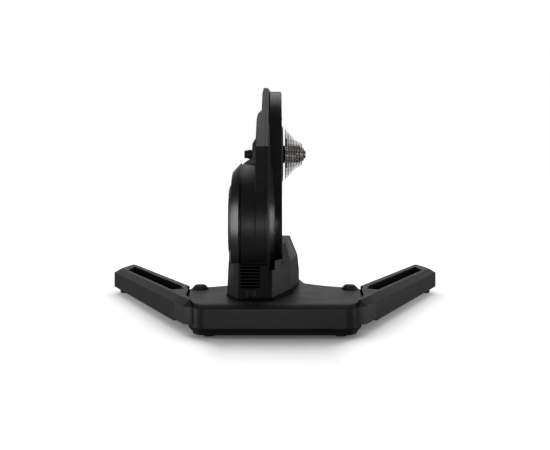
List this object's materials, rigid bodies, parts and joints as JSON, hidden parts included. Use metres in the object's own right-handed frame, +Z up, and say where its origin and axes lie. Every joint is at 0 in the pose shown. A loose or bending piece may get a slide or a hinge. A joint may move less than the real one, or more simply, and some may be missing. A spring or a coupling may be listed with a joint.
{
  "type": "direct drive bike trainer",
  "caption": "Indoor trainer that takes a bicycle in place of its rear wheel: cassette, belt driven flywheel with brake, wide rear foot and folding legs.",
  "frame": {"origin": "on the floor, at the centre of the object's box seen from above", "axes": "+Z up, +Y the way the bicycle faces, +X to the bicycle's chain side, where the cassette is"},
  "size_m": [0.8502, 0.6294, 0.512],
  "materials": {
    "alloy": "machined aluminium",
    "belt_rubber": "ribbed belt rubber",
    "board": "green circuit board",
    "cast_black": "fine textured black powder coat",
    "dark_steel": "blackened steel",
    "foot_rubber": "matt black rubber",
    "gloss_black": "glossy black moulding",
    "moulded_black": "finely grained black moulding",
    "nickel": "satin nickel plate",
    "steel": "turned steel"
  },
  "bodies": {
    "base": {"axle": "steel", "axle_adaptor_left": "dark_steel", "axle_adaptor_right": "dark_steel", "axle_boss": "cast_black", "axle_cover_disc": "moulded_black", "base_crosspiece": "cast_black", "belt_cover": "moulded_black", "belt_cover_back": "moulded_black", "brake_stator": "dark_steel", "control_board": "board", "drive_belt": "belt_rubber", "drum_housing": "cast_black", "flywheel_bearing_left": "steel", "flywheel_bearing_right": "steel", "guard_ring": "gloss_black", "hinge_pin_left": "steel", "hinge_pin_right": "steel", "hub_bearing_inner": "steel", "hub_bearing_outer": "steel", "idler_arm": "dark_steel", "lower_housing": "moulded_black", "power_socket": "moulded_black", "rear_foot_left": "foot_rubber", "rear_foot_right": "foot_rubber", "rear_panel": "moulded_black", "tower_frame": "cast_black", "tower_left_shell": "cast_black"},
    "leg_left": {"leg_left": "cast_black", "front_foot_left": "foot_rubber"},
    "leg_right": {"leg_right": "cast_black", "front_foot_right": "foot_rubber"},
    "leg_lock_left": {"leg_lock_button_left": "moulded_black"},
    "leg_lock_right": {"leg_lock_button_right": "moulded_black"},
    "flywheel": {"flywheel": "dark_steel", "flywheel_shaft": "steel", "flywheel_pulley": "steel"},
    "drive_pulley": {"drive_pulley": "alloy"},
    "idler": {"idler_pulley": "steel"},
    "freehub": {"cassette_carrier": "alloy", "cassette_lockring": "alloy", "cassette_spacer_1": "dark_steel", "cassette_spacer_2": "dark_steel", "cassette_spacer_3": "dark_steel", "cassette_spacer_4": "dark_steel", "cassette_spacer_5": "dark_steel", "cassette_spacer_6": "dark_steel", "cassette_spacer_7": "dark_steel", "freehub_body": "alloy", "freehub_seal": "foot_rubber", "sprocket_11": "nickel", "sprocket_12": "nickel", "sprocket_13": "nickel", "sprocket_14": "nickel", "sprocket_15": "nickel", "sprocket_17": "nickel", "sprocket_19": "nickel", "sprocket_21": "nickel", "sprocket_23": "nickel", "sprocket_25": "nickel", "sprocket_27": "nickel"}
  },
  "joints": [
    {"name": "leg_left_fold", "type": "hinge", "parent": "base", "child": "leg_left", "pos_m": [-0.152, -0.121, 0.037], "axis": [0, 0, -1], "range_deg": [0, 26]},
    {"name": "leg_lock_left_press", "type": "slide", "parent": "base", "child": "leg_lock_left", "axis": [0, 0, -1], "range_m": [0, 0.003], "stiffness_N_per_m": 600},
    {"name": "leg_right_fold", "type": "hinge", "parent": "base", "child": "leg_right", "pos_m": [0.152, -0.121, 0.037], "axis": [0, 0, 1], "range_deg": [0, 26]},
    {"name": "leg_lock_right_press", "type": "slide", "parent": "base", "child": "leg_lock_right", "axis": [0, 0, -1], "range_m": [0, 0.003], "stiffness_N_per_m": 600},
    {"name": "flywheel_spin", "type": "hinge", "parent": "base", "child": "flywheel", "pos_m": [0, -0.141, 0.2056], "axis": [1, 0, 0], "continuous": true},
    {"name": "drive_pulley_spin", "type": "hinge", "parent": "base", "child": "drive_pulley", "pos_m": [0, 0.004, 0.358], "axis": [1, 0, 0], "continuous": true},
    {"name": "idler_spin", "type": "hinge", "parent": "base", "child": "idler", "pos_m": [0, -0.04438, 0.2172], "axis": [1, 0, 0], "continuous": true},
    {"name": "freehub_spin", "type": "hinge", "parent": "drive_pulley", "child": "freehub", "pos_m": [0, 0.004, 0.358], "axis": [1, 0, 0], "continuous": true}
  ],
  "couplings": [
    {"joint": "drive_pulley_spin", "follows": "flywheel_spin", "ratio": 0.14223},
    {"joint": "idler_spin", "follows": "flywheel_spin", "ratio": -1.0656}
  ]
}
